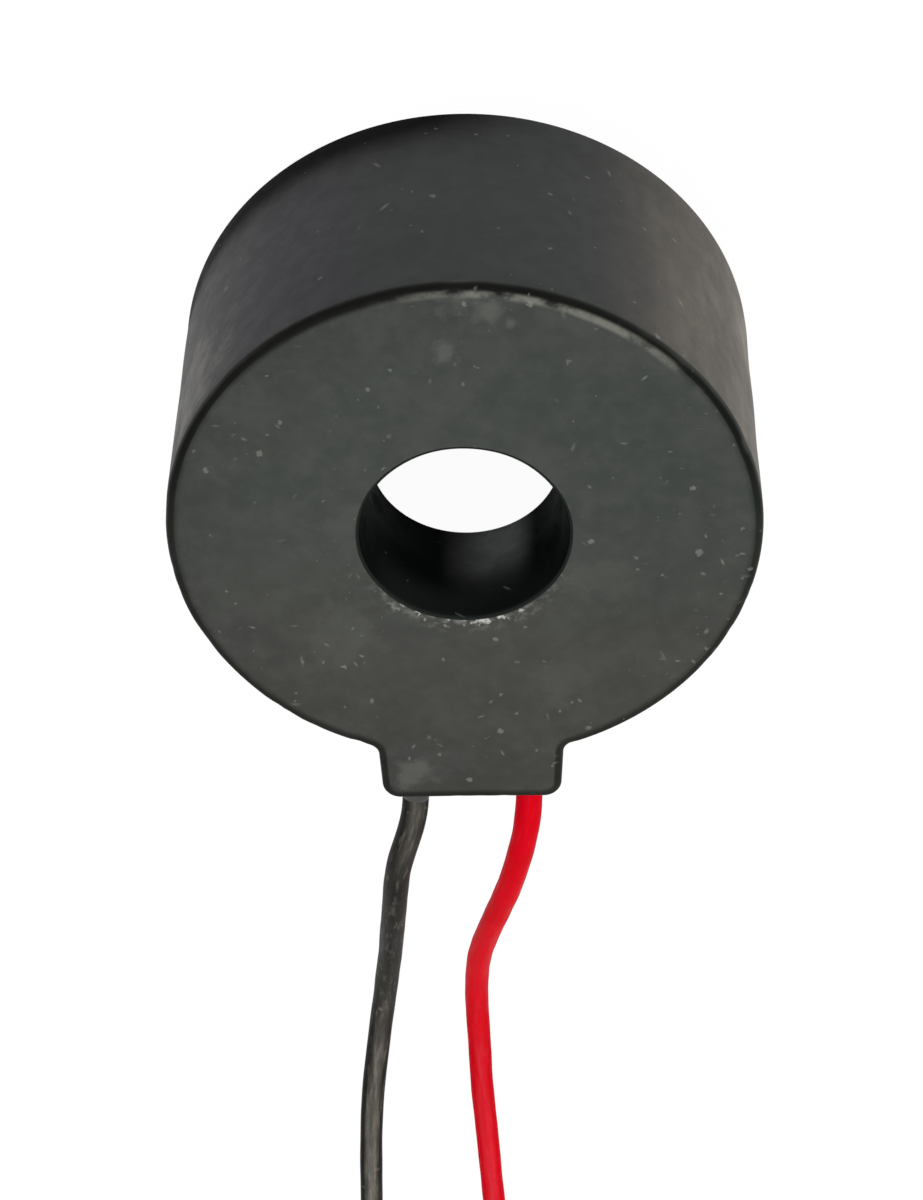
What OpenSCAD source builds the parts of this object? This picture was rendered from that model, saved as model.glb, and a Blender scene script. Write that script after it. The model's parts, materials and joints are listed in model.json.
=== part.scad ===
// Encapsulated ring-core current transformer with two flying leads.
//
// The conductor to be measured passes through the bore. A strip-wound ring core in a plastic
// box carries the secondary winding, and all of it is potted in the front part of a deep
// moulded cup. The part lies on the cup's back rim: +Z is the bore axis towards the front face,
// the nose with the two leads points to -Y, and the origin is on the bore axis in the rim's plane.

/* [Cup] */
// Outside diameter of the cup
cup_d = 25; // [24.6:0.1:28]
// Height from the back rim to the front face
cup_h = 13.2; // [12.8:0.1:16]
// Thickness of the round wall
cup_wall = 1.1; // [0.9:0.05:1.2]
// Thickness of the front face
front_t = 1.2; // [1:0.05:1.4]
// Rounding of the front edge
edge_round = 0.3; // [0.1:0.05:0.5]

/* [Bore] */
// Diameter of the bore's straight land
bore_d = 8.2; // [7.6:0.1:8.3]
// Length of the bore tube, measured from the front face
tube_len = 5.6; // [5.5:0.1:6.2]
// Length of the straight land at the tube's inner end
bore_land = 2.4; // [1.5:0.1:3]
// Opening of the bore's tapered mouth
mouth_d = 8.76; // [8.4:0.02:9]
// Rounding of the bore's mouth
mouth_round = 0.18; // [0.1:0.02:0.3]
// Wall of the bore tube at its land
tube_wall = 1.1; // [0.9:0.05:1.15]

/* [Nose] */
// Width of the nose at the cup
nose_w = 8.1; // [8:0.1:9]
// Distance from the bore axis to the nose's end face
nose_reach = 14.75; // [14.6:0.05:16]
// Inward lean of each side, in degrees
nose_lean = 3; // [0:0.5:3.5]
// Rounding of the nose's outer corners
nose_corner = 0.8; // [0.5:0.05:1]
// Fillet where the nose meets the cup
nose_fillet = 0.65; // [0.4:0.05:0.9]
// Wall thickness of the nose
nose_wall = 0.8; // [0.6:0.05:0.85]

/* [Core and winding] */
// Resin between the bore tube and the wound core
resin_in = 0.25; // [0.1:0.05:0.5]
// Resin between the wound core and the cup's wall
resin_out = 1.04; // [0.3:0.02:2]
// Resin under the wound core
resin_under = 0.45; // [0.2:0.05:1]
// Wall of the core box
box_wall = 0.3; // [0.25:0.01:0.32]
// Thickness of the soft ring over the core
cushion_t = 0.2; // [0.1:0.02:0.22]
// Thickness of the wire in the winding
wire_t = 0.36; // [0.26:0.02:0.38]
// Number of turns in the winding
turns = 72; // [36:4:80]
// Thickness of the tape over the winding
tape_t = 0.12; // [0.08:0.01:0.14]
// Depth of the potting's surface below the end of the bore tube
pot_dip = 0.3; // [0.1:0.05:0.35]

/* [Leads] */
// Diameter of the leads' insulation
lead_d = 1.2; // [1:0.05:1.25]
// Distance between the two leads
lead_pitch = 5.1; // [4.9:0.05:5.15]
// Depth of the leads below the front face
lead_depth = 1.45; // [1.45:0.05:2]
// Diameter of the bundle of strands
strands_d = 0.42; // [0.3:0.02:0.5]
// Length of insulation behind the nose's end wall
lead_grip = 1.1; // [0.8:0.05:1.2]
// Length of bared strands between the insulation and the solder
strands_bare = 0.6; // [0.4:0.05:0.7]
// Diameter of a solder joint
solder_d = 0.95; // [0.8:0.05:1]
// Length of the cured bead on the black lead
bead_len = 1.1; // [0.6:0.05:1.3]
// Thickness of the bead over the lead
bead_t = 0.12; // [0.1:0.01:0.2]
// Thickness of the bead where it spreads onto the nose
bead_flare = 0.35; // [0.25:0.01:0.5]
// Length of the tinned end of each lead
tip_len = 4.5; // [3:0.1:8]

/* [Coils] */
// Mean diameter of a lead coil
coil_d = 13.2; // [13:0.1:14]
// Thickness of a coil tie
tie_t = 0.25; // [0.2:0.01:0.3]
// Width of a coil tie
tie_w = 1.6; // [1:0.1:3]

/* [Hidden] */

$fn = 96;
fit = 0.03;          // gap between pieces that are cast, pressed or laid together
over = 1;            // how far a cutting shape runs past what it cuts
blend = 0.002;       // a round is cut this much fuller, so that it runs cleanly into the flat beside it
tube_sides = 8;      // sides of a free lead's tube

// Cup
cup_r = cup_d / 2;
cavity_r = cup_r - cup_wall;
cavity_top = cup_h - front_t;
tube_end = cup_h - tube_len;
bore_r = bore_d / 2;
tube_r = bore_r + tube_wall;
corner_r = 0.4;      // fillet inside the cup, at the front face

// Nose: half width at a given y, and the centres of its corner and root arcs
lean_t = tan(nose_lean);
function nose_half(y) = nose_w / 2 + lean_t * (y + cup_r);
nose_normal = [cos(nose_lean), -sin(nose_lean)];
corner_y = nose_corner - nose_reach;
corner_c = [nose_half(corner_y) - nose_corner / cos(nose_lean), corner_y];
root_r = cup_r + nose_fillet;
root_p = nose_half(0) + nose_fillet / cos(nose_lean);
root_q = 1 + lean_t * lean_t;
root_y = (-root_p * lean_t - sqrt(pow(root_p * lean_t, 2) - root_q * (root_p * root_p - root_r * root_r)))
         / root_q;
root_c = [root_p + lean_t * root_y, root_y];
pocket_half = nose_w / 2 - nose_wall;
pocket_end = nose_reach - nose_wall;
pocket_top = cup_h - nose_wall;
pocket_corner = 0.3; // rounding of the pocket's upright corners

pot_level = tube_end + pot_dip;

// Wound core, nested from the outside in: the ring core fills what the cup and the resin leave
tape_in = tube_r + resin_in;
tape_out = cavity_r - resin_out;
tape_top = cavity_top;
tape_bottom = pot_level + resin_under;
wind_in = tape_in + tape_t;
wind_out = tape_out - tape_t - fit;
wind_top = tape_top - tape_t;
wind_bottom = tape_bottom + tape_t + fit;
box_in = wind_in + wire_t + fit;
box_out = wind_out - wire_t - fit;
box_top = wind_top - wire_t - fit;
box_bottom = wind_bottom + wire_t + fit;
core_in = box_in + box_wall + fit;
core_out = box_out - box_wall - fit;
core_top = box_top - box_wall - cushion_t;
core_bottom = box_bottom + box_wall;

// Leads
lead_r = lead_d / 2;
lead_x = lead_pitch / 2;
lead_z = cup_h - lead_depth;
lead_in = pocket_end - lead_grip;                 // inner end of the insulation, from the axis
joint_y = lead_in - strands_bare - solder_d / 4;  // centre of a solder joint, from the axis
tail_r = 0.08;                                    // thin wire from the winding to a joint
tail_x = 1.4;                                     // where that wire leaves the winding
tail_z = (wind_top + wind_bottom) / 2;
tail_out = sqrt(pow(wind_out - tail_r, 2) - tail_x * tail_x);
tail_side = 0.1;                                  // where it meets a joint: to one side of its middle
tail_drop = 0.25;                                 // and below it
joint_reach = sqrt(pow(solder_d / 2 + fit, 2) - tail_drop * tail_drop - tail_side * tail_side);

// Coils: two turns side by side on the tie
coil_r = coil_d / 2;
coil_z = tie_t + fit;
coil_in = coil_r - lead_d;
coil_out = coil_r + lead_d;
tie_in = lead_d + fit + coil_in - sqrt(coil_in * coil_in - tie_w * tie_w / 4);  // clear of the bend
tie_out = lead_d + fit;
tie_high = lead_d + 2 * fit;
black_coil_at = [-13.8, -65.8];
red_coil_at = [7.7, -65.8];

// Points on the free run of each lead: out of the nose, down to the surface, along to the coil
black_run = [[-2.55, -14.75, 11.75], [-2.62, -16.4, 11.7], [-3, -18.6, 11.3], [-3.5, -21, 10.5],
             [-3.8, -23.5, 9.4], [-4, -26, 8.1], [-4.2, -28.5, 6.7], [-4.4, -31, 5.2],
             [-4.6, -33.5, 3.8], [-4.85, -36, 2.5], [-5.1, -38.5, 1.5], [-5.4, -41, 0.85],
             [-5.7, -43.5, 0.62], [-6, -46, 0.6], [-6.25, -49, 0.6], [-6.4, -52, 0.6],
             [-6.5, -55, 0.6], [-6.6, -58.3, 0.66], [-6.6, -61.5, 0.85]];
red_run = [[2.55, -14.75, 11.75], [2.5, -16.4, 11.7], [2.3, -18.6, 11.3], [1.95, -21, 10.5],
           [1.55, -23.5, 9.4], [1.1, -26, 8.1], [0.65, -28.5, 6.7], [0.25, -31, 5.2],
           [-0.1, -33.5, 3.8], [-0.3, -36, 2.5], [-0.4, -38.5, 1.5], [-0.4, -41, 0.85],
           [-0.35, -43.5, 0.62], [-0.3, -46, 0.6], [-0.15, -49, 0.6], [0, -52, 0.6],
           [0.15, -55, 0.6], [0.35, -58.3, 0.66], [0.5, -61.5, 0.85]];
// Points on each tail: over the coil, down beside it, and out to the tinned end
black_tail = [[-7.2, -68, 2.1], [-7.2, -69.3, 2.15], [-7.2, -70.6, 2.05], [-7.2, -71.9, 1.5],
              [-7.2, -73.1, 0.95], [-7.2, -74.5, 0.65], [-7.2, -76, 0.6], [-7.2, -77.6, 0.6]];
red_tail = [[1.1, -68, 2.1], [1.1, -69.3, 2.15], [1.1, -70.6, 2.05], [1.1, -71.9, 1.5],
            [1.1, -73.1, 0.95], [1.1, -74.5, 0.65], [1.1, -76, 0.6], [1.1, -77.6, 0.6]];

// ---------- shapes that several pieces share ----------

// Ring with a rectangular section
module ring(r_in, r_out, z_low, z_high) {
    translate([0, 0, z_low]) difference() {
        cylinder(r = r_out, h = z_high - z_low);
        translate([0, 0, -over]) cylinder(r = r_in, h = z_high - z_low + 2 * over);
    }
}

// Rectangle with round corners, from a low to a high corner
module round_rect(low, high, r) {
    translate([low.x + r, low.y]) square([high.x - low.x - 2 * r, high.y - low.y]);
    translate([low.x, low.y + r]) square([high.x - low.x, high.y - low.y - 2 * r]);
    for (x = [low.x + r, high.x - r], y = [low.y + r, high.y - r]) translate([x, y]) circle(r);
}

// Round bar along -Y, from one distance from the bore axis to another
module bar_y(r, from, to, x) {
    translate([x, -from, lead_z]) rotate([90, 0, 0]) cylinder(r = r, h = to - from);
}

// Straight round wire between two points
module wire(a, b, r) {
    run = b - a;
    length = norm(run);
    translate(a) rotate([0, acos(run.z / length), atan2(run.y, run.x)]) cylinder(r = r, h = length);
}

// Tube swept along points, with its first and last rings square to the given directions
function unit(v) = v / norm(v);
function tangent(p, i, first, last) =
    i == 0 ? first : i == len(p) - 1 ? last : unit(p[i + 1] - p[i - 1]);
function tube_ring(p, t, r) =
    let (side = unit(cross(t, [0, 0, 1])), up = cross(t, side))
    [for (k = [0 : tube_sides - 1])
        let (a = 360 * (k + 0.5) / tube_sides) p + r * (cos(a) * side + sin(a) * up)];
module tube(points, first, last, r) {
    n = len(points);
    rings = [for (i = [0 : n - 1]) each tube_ring(points[i], tangent(points, i, first, last), r)];
    sides = [for (i = [0 : n - 2], k = [0 : tube_sides - 1])
        let (a = i * tube_sides, j = (k + 1) % tube_sides)
        [a + k, a + tube_sides + k, a + tube_sides + j, a + j]];
    start = [for (k = [0 : tube_sides - 1]) k];
    end = [for (k = [tube_sides - 1 : -1 : 0]) (n - 1) * tube_sides + k];
    polyhedron(points = rings, faces = concat([start], sides, [end]), convexity = 4);
}

// ---------- cup ----------

// Column or disc with the cup's height, whose front edge is rounded
module rounded_column(r) {
    rotate_extrude() {
        square([r, cup_h - edge_round]);
        square([r - edge_round, cup_h]);
        translate([r - edge_round, cup_h - edge_round]) circle(edge_round);
    }
}

// Slab with a straight outer face at y = 0 and a rounded front edge above it
module rounded_slab(length, depth) {
    rotate([90, 0, 90]) translate([0, 0, -length / 2]) linear_extrude(length) {
        square([depth, cup_h - edge_round]);
        translate([edge_round, 0]) square([depth - edge_round, cup_h]);
        translate([edge_round, cup_h - edge_round]) circle(edge_round);
    }
}

// The nose between its three straight faces, with sharp corners
module nose_slabs() {
    intersection() {
        translate([0, -nose_reach, 0]) rounded_slab(cup_d, cup_r);
        intersection_for (s = [0, 1]) mirror([s, 0, 0])
            translate([nose_half(-nose_reach), -nose_reach, 0]) rotate([0, 0, 90 - nose_lean])
                rounded_slab(cup_d, cup_d);
    }
}

// What the rounding takes off the nose's corner
module corner_cut() {
    translate([corner_c.x, corner_c.y, -over]) difference() {
        linear_extrude(cup_h + 2 * over) polygon([[0, 0], 2 * nose_corner * nose_normal,
            2 * nose_corner * (nose_normal + [0, -1]), [0, -2 * nose_corner]]);
        translate([0, 0, over]) rounded_column(nose_corner + blend);
        cylinder(r = nose_corner + blend, h = 2 * over);
    }
}

// Web that fills the inner corner between the nose and the cup, before the fillet is cut
module fillet_web() {
    linear_extrude(cup_h) polygon([[0, -cup_r / 2], root_c, root_c - nose_fillet * nose_normal,
                                   [0, -cup_r]]);
}

// The fillet itself, flared at the front by the edge rounding
module fillet_cut() {
    r = nose_fillet + blend;
    translate([root_c.x, root_c.y, 0]) rotate_extrude() difference() {
        translate([0, -over]) square([r + edge_round, cup_h + 2 * over]);
        translate([r, -2 * over]) square([edge_round + over, cup_h - edge_round + 2 * over]);
        translate([r + edge_round, cup_h - edge_round]) circle(edge_round);
    }
}

// The outer form of the cup, solid
module cup_form() {
    difference() {
        union() {
            nose_slabs();
            for (s = [0, 1]) mirror([s, 0, 0]) fillet_web();
        }
        for (s = [0, 1]) mirror([s, 0, 0]) {
            corner_cut();
            fillet_cut();
        }
    }
    rounded_column(cup_r);
}

// The hollow of the cup, round the bore tube and open at the back
module cup_hollow() {
    rotate_extrude() difference() {
        union() {
            translate([0, -over]) square([cavity_r, cavity_top - corner_r + over]);
            translate([0, -over]) square([cavity_r - corner_r, cavity_top + over]);
            translate([cavity_r - corner_r, cavity_top - corner_r]) circle(corner_r);
        }
        translate([0, tube_end]) square([tube_r, cup_h]);
    }
}

// The hollow of the nose, in which the leads are joined
module nose_pocket() {
    translate([0, 0, -over]) linear_extrude(pocket_top + over)
        round_rect([-pocket_half, -pocket_end], [pocket_half, -cavity_r + cup_wall], pocket_corner);
}

// The bore: straight land, taper to the front and rounded mouth
module bore_cut() {
    mouth_r = mouth_d / 2;
    rotate_extrude() difference() {
        polygon([[0, -over], [bore_r, -over], [bore_r, tube_end + bore_land],
                 [mouth_r, cup_h - mouth_round], [mouth_r + mouth_round, cup_h - mouth_round],
                 [mouth_r + mouth_round, cup_h + over], [0, cup_h + over]]);
        translate([mouth_r + mouth_round, cup_h - mouth_round]) circle(mouth_round);
    }
}

module case() {
    color([0.2, 0.21, 0.2]) difference() {
        cup_form();
        difference() {
            cup_hollow();
            // the front wall stays whole over the nose's pocket
            translate([0, 0, cavity_top]) cylinder(r = cup_d, h = cup_h);
        }
        nose_pocket();
        bore_cut();
        for (s = [-1, 1]) bar_y(lead_r + fit, pocket_end - over, nose_reach + over, s * lead_x);
    }
}

// ---------- wound core ----------

module core() {
    color([0.62, 0.6, 0.55]) ring(core_in, core_out, core_bottom, core_top);
}

module core_cushion() {
    color([0.85, 0.85, 0.82]) ring(core_in + fit, core_out - fit, core_top, core_top + cushion_t);
}

module core_box_base() {
    color([0.9, 0.88, 0.8]) difference() {
        ring(box_in, box_out, box_bottom, box_top - box_wall);
        ring(core_in - fit, core_out + fit, core_bottom, box_top);
    }
}

module core_box_lid() {
    color([0.86, 0.84, 0.76]) ring(box_in, box_out, box_top - box_wall, box_top);
}

// One turn of the winding: a rounded frame round the core box
module turn() {
    rotate([90, 0, 0]) translate([0, 0, -wire_t / 2]) linear_extrude(wire_t) difference() {
        round_rect([wind_in, wind_bottom], [wind_out, wind_top], wire_t);
        translate([wind_in + wire_t, wind_bottom + wire_t])
            square([wind_out - wind_in - 2 * wire_t, wind_top - wind_bottom - 2 * wire_t]);
    }
}

// The thin wire from the winding to a lead's solder joint
module winding_tail(s, r) {
    joint_end = [s * (lead_x - tail_side), joint_reach - joint_y, lead_z - tail_drop];
    wire([s * tail_x, -tail_out, tail_z], joint_end, r);
}

module winding() {
    color([0.72, 0.36, 0.16]) {
        for (i = [0 : turns - 1]) rotate([0, 0, (i + 0.5) * 360 / turns]) turn();
        for (s = [-1, 1]) winding_tail(s, tail_r);
    }
}

module winding_tape() {
    color([0.85, 0.7, 0.3]) difference() {
        ring(tape_in, tape_out, tape_bottom, tape_top);
        ring(wind_in - fit / 2, wind_out + fit / 2, wind_bottom - fit / 2, wind_top);
        // slots that the winding's two ends come out of
        for (s = [-1, 1]) translate([s * tail_x - 3 * tail_r, -cup_r, tail_z - 3 * tail_r])
            cube([12 * tail_r, cup_r / 2, 6 * tail_r]);
    }
}

// ---------- leads inside the nose ----------

module lead_in_nose(s) {
    difference() {
        bar_y(lead_r, lead_in, nose_reach, s * lead_x);
        bar_y(strands_d / 2 + fit / 2, lead_in - over, nose_reach + over, s * lead_x);
    }
}

module strands(s) {
    bar_y(strands_d / 2, joint_y, nose_reach, s * lead_x);
}

module solder_joint(s) {
    difference() {
        translate([s * lead_x, -joint_y, lead_z]) sphere(d = solder_d);
        bar_y(strands_d / 2 + fit / 2, joint_y - fit / 2, nose_reach, s * lead_x);
    }
}

module black_lead() { color([0.12, 0.12, 0.12]) lead_in_nose(-1); }
module red_lead() { color([0.8, 0.05, 0.12]) lead_in_nose(1); }
module black_strands() { color([0.8, 0.78, 0.74]) strands(-1); }
module red_strands() { color([0.8, 0.78, 0.74]) strands(1); }
module black_solder_joint() { color([0.7, 0.7, 0.72]) solder_joint(-1); }
module red_solder_joint() { color([0.7, 0.7, 0.72]) solder_joint(1); }

// Bead of cured resin that crept out along the black lead
module exit_bead() {
    base_r = lead_r + bead_flare;
    end_r = lead_r + bead_t;
    color([0.22, 0.22, 0.21]) translate([-lead_x, -nose_reach, lead_z]) rotate([90, 0, 0])
        rotate_extrude() polygon([[lead_r + 2 * fit, 0], [base_r, 0], [end_r, bead_len / 2],
                                  [end_r, bead_len], [lead_r + 2 * fit, bead_len]]);
}

// ---------- potting ----------

// Resin in the cup, with the hollows that the wound core and the joints take up
module potting() {
    color([0.1, 0.1, 0.11]) difference() {
        union() {
            ring(tube_r + fit, cavity_r - fit, pot_level, cavity_top - corner_r);
            ring(tube_r + fit, cavity_r - corner_r - fit, pot_level, cavity_top);
            translate([0, 0, pot_level]) linear_extrude(pocket_top - fit - pot_level)
                round_rect([fit - pocket_half, fit - pocket_end],
                           [pocket_half - fit, -tape_out - 2 * fit], pocket_corner);
        }
        ring(tape_in - fit, tape_out + fit, tape_bottom - fit, cup_h);
        for (s = [-1, 1]) {
            bar_y(lead_r + fit, lead_in - fit, nose_reach, s * lead_x);
            bar_y(strands_d / 2 + fit, joint_y, nose_reach, s * lead_x);
            translate([s * lead_x, -joint_y, lead_z]) sphere(d = solder_d + 2 * fit);
            winding_tail(s, tail_r + fit);
        }
    }
}

// ---------- free leads ----------

module lead_run(run, tail) {
    tube(run, [0, -1, 0], [0, -1, 0], lead_r);
    tube(tail, [0, -1, 0], [0, -1, 0], lead_r);
}

module lead_coil(at) {
    translate([at.x, at.y, coil_z]) rotate_extrude()
        round_rect([coil_in, 0], [coil_out, lead_d], lead_d / 3);
}

module coil_tie(at, side) {
    translate([at.x, at.y + tie_w / 2, 0]) mirror([side < 0 ? 1 : 0, 0, 0]) translate([coil_r, 0, 0])
        rotate([90, 0, 0]) linear_extrude(tie_w) difference() {
            round_rect([-tie_in - tie_t, 0], [tie_out + tie_t, tie_high + 2 * tie_t], 2 * tie_t);
            round_rect([-tie_in, tie_t], [tie_out, tie_high + tie_t], tie_t);
        }
}

module lead_tip(tail) {
    end = tail[len(tail) - 1];
    translate(end) rotate([90, 0, 0]) cylinder(d = strands_d, h = tip_len);
}

module black_lead_run() { color([0.12, 0.12, 0.12]) lead_run(black_run, black_tail); }
module red_lead_run() { color([0.8, 0.05, 0.12]) lead_run(red_run, red_tail); }
module black_lead_coil() { color([0.12, 0.12, 0.12]) lead_coil(black_coil_at); }
module red_lead_coil() { color([0.8, 0.05, 0.12]) lead_coil(red_coil_at); }
module black_coil_tie() { color([0.85, 0.85, 0.83]) coil_tie(black_coil_at, -1); }
module red_coil_tie() { color([0.85, 0.85, 0.83]) coil_tie(red_coil_at, 1); }
module black_lead_tip() { color([0.8, 0.78, 0.74]) lead_tip(black_tail); }
module red_lead_tip() { color([0.8, 0.78, 0.74]) lead_tip(red_tail); }

case();
core();
core_box_base();
core_box_lid();
core_cushion();
winding();
winding_tape();
potting();
exit_bead();
black_lead();
black_strands();
black_solder_joint();
red_lead();
red_strands();
red_solder_joint();
black_lead_run();
black_lead_coil();
black_coil_tie();
black_lead_tip();
red_lead_run();
red_lead_coil();
red_coil_tie();
red_lead_tip();
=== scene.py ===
# %% [markdown]
# # A current transformer with two leads
# The real part is a ring core with a fine winding, potted in a moulded cup. A conductor passes
# through the bore, and two thin leads leave a small nose on the side. The CAD model already has
# every piece at its real size, so this lesson only adds the looks: the worn cup, the leads with
# their coils, the resin, and a finish for each inner piece.

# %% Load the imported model
import json
from functools import reduce
import bmesh
import bpy
import numpy as np
from mathutils import Matrix, Vector


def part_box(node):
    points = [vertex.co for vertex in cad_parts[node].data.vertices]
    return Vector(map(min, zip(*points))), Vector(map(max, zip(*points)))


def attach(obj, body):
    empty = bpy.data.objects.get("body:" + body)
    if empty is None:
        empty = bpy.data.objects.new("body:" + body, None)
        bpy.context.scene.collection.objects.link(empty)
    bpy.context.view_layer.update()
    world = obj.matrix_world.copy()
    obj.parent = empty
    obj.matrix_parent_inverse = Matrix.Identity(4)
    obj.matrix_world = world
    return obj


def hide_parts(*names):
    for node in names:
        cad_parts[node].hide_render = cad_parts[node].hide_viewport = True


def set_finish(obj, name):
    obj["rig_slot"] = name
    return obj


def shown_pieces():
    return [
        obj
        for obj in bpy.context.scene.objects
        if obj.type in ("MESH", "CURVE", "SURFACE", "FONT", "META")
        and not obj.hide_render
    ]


MM = 0.001
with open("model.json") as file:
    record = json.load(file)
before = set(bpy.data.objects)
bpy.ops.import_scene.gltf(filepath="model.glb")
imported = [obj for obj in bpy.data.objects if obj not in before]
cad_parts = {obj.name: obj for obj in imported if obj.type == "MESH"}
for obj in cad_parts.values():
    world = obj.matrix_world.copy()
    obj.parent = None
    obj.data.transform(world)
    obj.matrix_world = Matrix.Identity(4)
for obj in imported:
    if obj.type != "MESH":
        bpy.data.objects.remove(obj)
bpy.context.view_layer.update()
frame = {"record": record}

# %% [markdown]
# ## Camera
# The part lies on its back rim. The camera stands behind it and above, opposite the nose, and is
# held upside down, so that the nose and the leads point down the picture. A long lens gives the
# flat perspective of a close product shot.

# %% Camera
eye = Vector((3.11, 87.84, 127.87)) * MM
look = Vector((-0.0226, -0.6227, -0.7821)).normalized()
right = look.cross(Vector((0.0137, 0.782, -0.6231))).normalized()
upward = right.cross(look)

lens = bpy.data.cameras.new("studio_camera")
lens.lens = 103.72
lens.clip_start = 10 * MM
camera = bpy.data.objects.new("studio_camera", lens)
camera.matrix_world = Matrix((right, upward, -look)).transposed().to_4x4()
camera.location = eye
bpy.context.scene.collection.objects.link(camera)
bpy.context.scene.camera = camera
print("camera", round(eye.length / MM), "mm from the part")

# %% [markdown]
# ## Surfaces on a grid
# Every new piece is a grid of points: rows along one direction, columns along the other. Where
# the grid meets itself, as at a tube's seam or a pole, the doubled points are welded, so that
# the piece is closed. Normals are then turned outwards.

# %% Grid helper
def grid_piece(name, points, **marks):
    """Makes a closed mesh from points[row, column]. Each quad joins neighbours in the grid, the
    UV map runs from 0 to 1 along columns and rows, and each mark becomes a point attribute."""
    rows, columns = points.shape[:2]
    index = np.arange(rows * columns).reshape(rows, columns)
    corners = [index[:-1, :-1], index[:-1, 1:], index[1:, 1:], index[1:, :-1]]
    faces = np.stack(corners, axis=-1).reshape(-1, 4)
    mesh = bpy.data.meshes.new(name)
    mesh.from_pydata(points.reshape(-1, 3), [], faces)
    across, along = np.meshgrid(np.linspace(0, 1, columns), np.linspace(0, 1, rows))
    flat = np.stack([across, along], axis=-1).reshape(-1, 2)[faces.reshape(-1)]
    mesh.uv_layers.new(name="surface").data.foreach_set("uv", flat.astype(np.float32).ravel())
    for mark, values in marks.items():
        layer = mesh.attributes.new(mark, "FLOAT", "POINT")
        layer.data.foreach_set("value", np.broadcast_to(values, (rows, columns)).astype(np.float32).ravel())
    welded = bmesh.new()
    welded.from_mesh(mesh)
    bmesh.ops.remove_doubles(welded, verts=welded.verts, dist=1e-7)
    bmesh.ops.recalc_face_normals(welded, faces=welded.faces)
    for face in welded.faces:
        face.smooth = True
    welded.to_mesh(mesh)
    open_edges = sum(not edge.is_manifold for edge in welded.edges)
    welded.free()
    piece = bpy.data.objects.new(name, mesh)
    bpy.context.scene.collection.objects.link(piece)
    print(name, len(mesh.polygons), "faces,", open_edges, "open edges")
    return piece


def stand_for(piece, slot, *nodes):
    """Puts the piece on the part's only body, names its finish and hides the CAD nodes it stands for."""
    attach(piece, "root")
    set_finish(piece, slot)
    if nodes:
        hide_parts(*nodes)
    return piece


def points_at(*coordinates):
    """Points from arrays of their X, Y and Z, or X and Y, where one value may stand for many."""
    return np.stack(np.broadcast_arrays(*coordinates), axis=-1)


def smoothstep(value, low, high):
    """0 below low, 1 above high, and an S-shaped change between them."""
    share = np.clip((value - low) / (high - low), 0, 1)
    return share * share * (3 - 2 * share)


def ripple(place, seed):
    """Smooth noise between about -1 and 1: twice the mean of five sines of unlike pitch and phase."""
    chance = np.random.default_rng(seed)
    pitch = chance.uniform(0.6, 2.4, (5, 1, 1, place.shape[-1]))
    phase = chance.uniform(0, 2 * np.pi, (5, 1, 1))
    return np.sin((place * pitch).sum(axis=-1) + phase).mean(axis=0) * 2


# %% [markdown]
# ## The leads
# Each lead is thin stranded hook-up wire, 1.2 mm across, and 150 mm long. It comes straight out
# of the nose, sinks to the table in a slack curve, runs along it, and the spare length lies in
# two turns held by a tie. The route's points are the CAD tube's own, and both leads sink alike, so
# only their X differs as far as the coils. A Blender curve with a round bevel would make the same
# tube. A round section carried along a smooth path is used here, because its UV map then runs
# along the lead, where the finish needs it.

# %% Routes of the leads
lead_d = 1.2 * MM
lead_length = 150 * MM
lead_rings, lead_sides = 900, 28      # rings along a lead, and sides of each ring
run_y = [-14.75, -16.4, -18.6, -21, -23.5, -26, -28.5, -31, -33.5, -36, -38.5, -41, -43.5, -46, -49,
         -52, -55, -58.3, -61.5]
run_z = [11.75, 11.7, 11.3, 10.5, 9.4, 8.1, 6.7, 5.2, 3.8, 2.5, 1.5, 0.85, 0.62, 0.6, 0.6, 0.6, 0.6,
         0.66, 0.85]
black_x = [-2.55, -2.62, -3, -3.5, -3.8, -4, -4.2, -4.4, -4.6, -4.85, -5.1, -5.4, -5.7, -6, -6.25,
           -6.4, -6.5, -6.6, -6.6]
red_x = [2.55, 2.5, 2.3, 1.95, 1.55, 1.1, 0.65, 0.25, -0.1, -0.3, -0.4, -0.4, -0.35, -0.3, -0.15, 0,
         0.15, 0.35, 0.5]
black_run, red_run = (MM * points_at(x, run_y, run_z) for x in (black_x, red_x))
black_tail = MM * np.array([
    [-7.2, -68, 2.1], [-7.2, -69.3, 2.15], [-7.2, -70.6, 2.05], [-7.2, -71.9, 1.5],
    [-7.2, -73.1, 0.95], [-7.2, -74.5, 0.65], [-7.2, -76, 0.6], [-7.2, -77.6, 0.6]])
red_tail = black_tail + MM * np.array([8.3, 0, 0])
black_coil_at = MM * np.array([-13.8, -65.8])
red_coil_at = MM * np.array([7.7, -65.8])
coil_height = 0.88 * MM               # of the lead's middle, where it lies on the tie


# %% Turns of a coil
def coil_turns(centre, side):
    """Two turns, 24 points each: the outer one, an easy step inwards, the inner one, and a climb
    over the outer turn. side is 1 where the turns start on the +X side and -1 on the other."""
    turned = np.arange(0, 721, 15)
    outer, inner = 7.2 * MM, 6.0 * MM
    radius = outer + (inner - outer) * smoothstep(turned, 300, 360)
    lift = np.radians(60) * smoothstep(turned, 600, 665)
    radius = np.where(turned > 600, outer - lead_d * np.cos(lift), radius)
    height = coil_height + lead_d * np.sin(lift)
    crossing = np.clip((turned - 660) / 60, 0, 1)
    height += 0.16 * MM * np.sin(np.pi * crossing) ** 2
    angle = np.radians(turned)
    x = centre[0] + side * radius * np.cos(angle)
    return points_at(x, centre[1] - radius * np.sin(angle), height)


# %% Paths and tubes
def distances(path):
    """Distance along a path, from its start to each of its points."""
    return np.concatenate([[0], np.cumsum(np.linalg.norm(np.diff(path, axis=0), axis=1))])


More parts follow.
